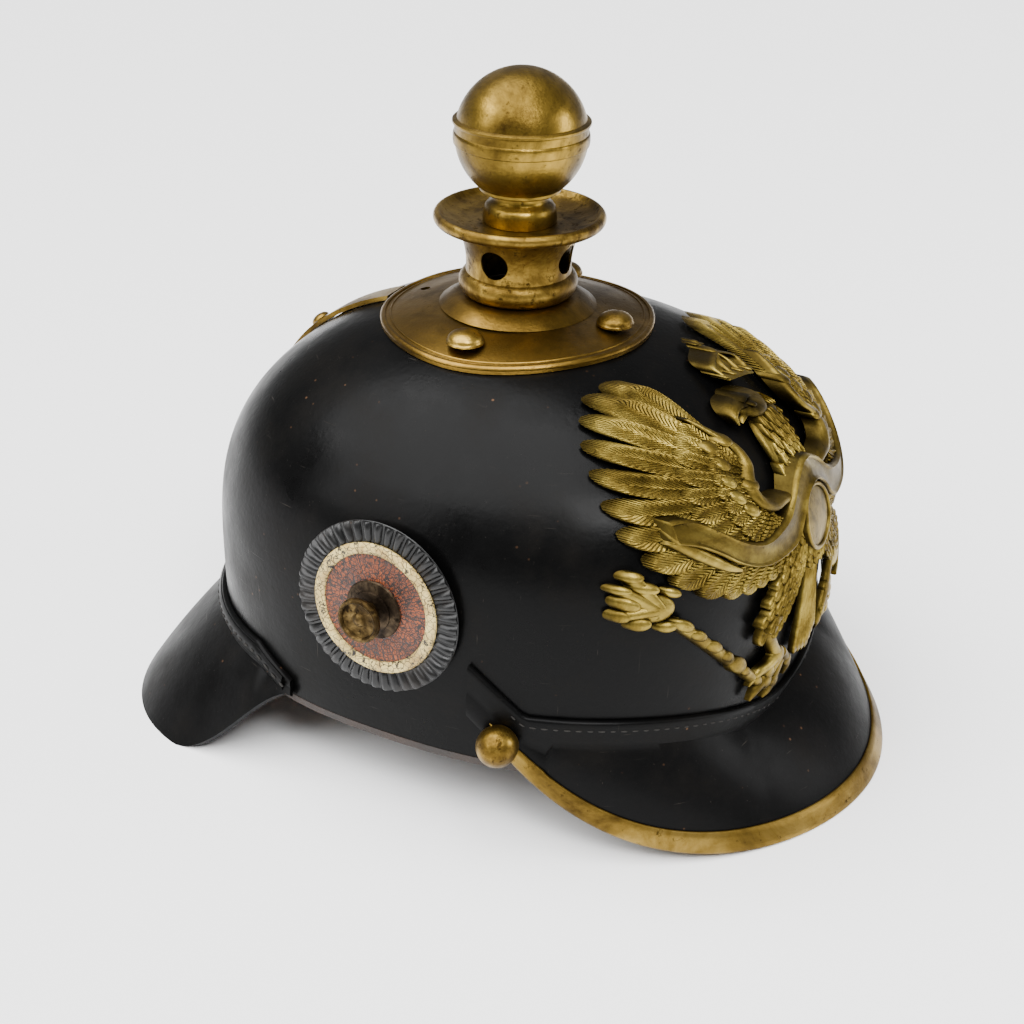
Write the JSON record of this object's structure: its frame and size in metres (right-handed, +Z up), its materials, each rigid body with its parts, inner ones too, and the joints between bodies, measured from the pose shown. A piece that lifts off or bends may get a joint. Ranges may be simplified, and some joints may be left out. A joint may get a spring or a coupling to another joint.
{
  "type": "ball-topped leather dress helmet",
  "caption": "Black leather dress helmet with peak and neck guard, brass base plate, vent collar and ball finial, pressed eagle plate, side cockades, rim trim and laced lining.",
  "frame": {"origin": "on the floor under the middle of the helmet: middle of its width and length, at the level of the peak and neck guard rims that it stands on", "axes": "+Z up along the ball and collar axis, -Y the way the wearer looks, -X the wearer's right"},
  "size_m": [0.218, 0.2727, 0.229],
  "materials": {
    "black_leather": "black lacquered leather, satin, worn",
    "brown_leather": "brown tanned leather, worn",
    "lining_leather": "light tanned sheepskin lining",
    "lace_cord": "cotton lace",
    "aged_brass": "aged, mottled, polished on the edges",
    "dark_brass": "darkened brass",
    "pale_brass": "pressed, pale gilt brass",
    "pin_wood": "plain split hardwood",
    "black_pleats": "black painted, radially pleated",
    "cream_enamel": "cream paint, flaking",
    "rust_red": "orange red paint, radially crazed"
  },
  "bodies": {
    "helmet": {"shell": "black_leather", "front_peak": "black_leather", "neck_guard": "black_leather", "edge_welt": "brown_leather", "sweatband": "brown_leather", "lining_fingers": "lining_leather", "crown_lace": "lace_cord", "peak_trim": "aged_brass", "peak_end_studs": "aged_brass", "end_stud_nuts": "aged_brass", "base_plate": "aged_brass", "plate_studs": "aged_brass", "stud_washers": "brown_leather", "vent_collar": "aged_brass", "collar_dish": "aged_brass", "ball_lower": "aged_brass", "ball_cap": "aged_brass", "finial_rod": "aged_brass", "finial_nut": "aged_brass", "side_posts": "dark_brass", "post_nuts": "aged_brass", "front_emblem": "pale_brass", "emblem_loops": "pale_brass", "loop_pins": "pin_wood", "rear_spine": "aged_brass", "spine_rivets": "aged_brass"},
    "cockade_right": {"cockade_pleats_right": "black_pleats", "cockade_ring_right": "cream_enamel", "cockade_centre_right": "rust_red", "cockade_washer_right": "dark_brass"},
    "cockade_left": {"cockade_pleats_left": "black_pleats", "cockade_ring_left": "cream_enamel", "cockade_centre_left": "rust_red", "cockade_washer_left": "dark_brass"},
    "shutter": {"vent_shutter": "aged_brass"}
  },
  "joints": [
    {"name": "cockade_right_turn", "type": "hinge", "parent": "helmet", "child": "cockade_right", "pos_m": [-0.0956, 0.0064, 0.079], "axis": [-0.9976, 0, 0.0698], "continuous": true},
    {"name": "cockade_left_turn", "type": "hinge", "parent": "helmet", "child": "cockade_left", "pos_m": [0.0956, 0.0064, 0.079], "axis": [0.9976, 0, 0.0698], "continuous": true},
    {"name": "vent_slide", "type": "slide", "parent": "helmet", "child": "shutter", "axis": [0, 0, 1], "range_m": [0, 0.016]}
  ]
}
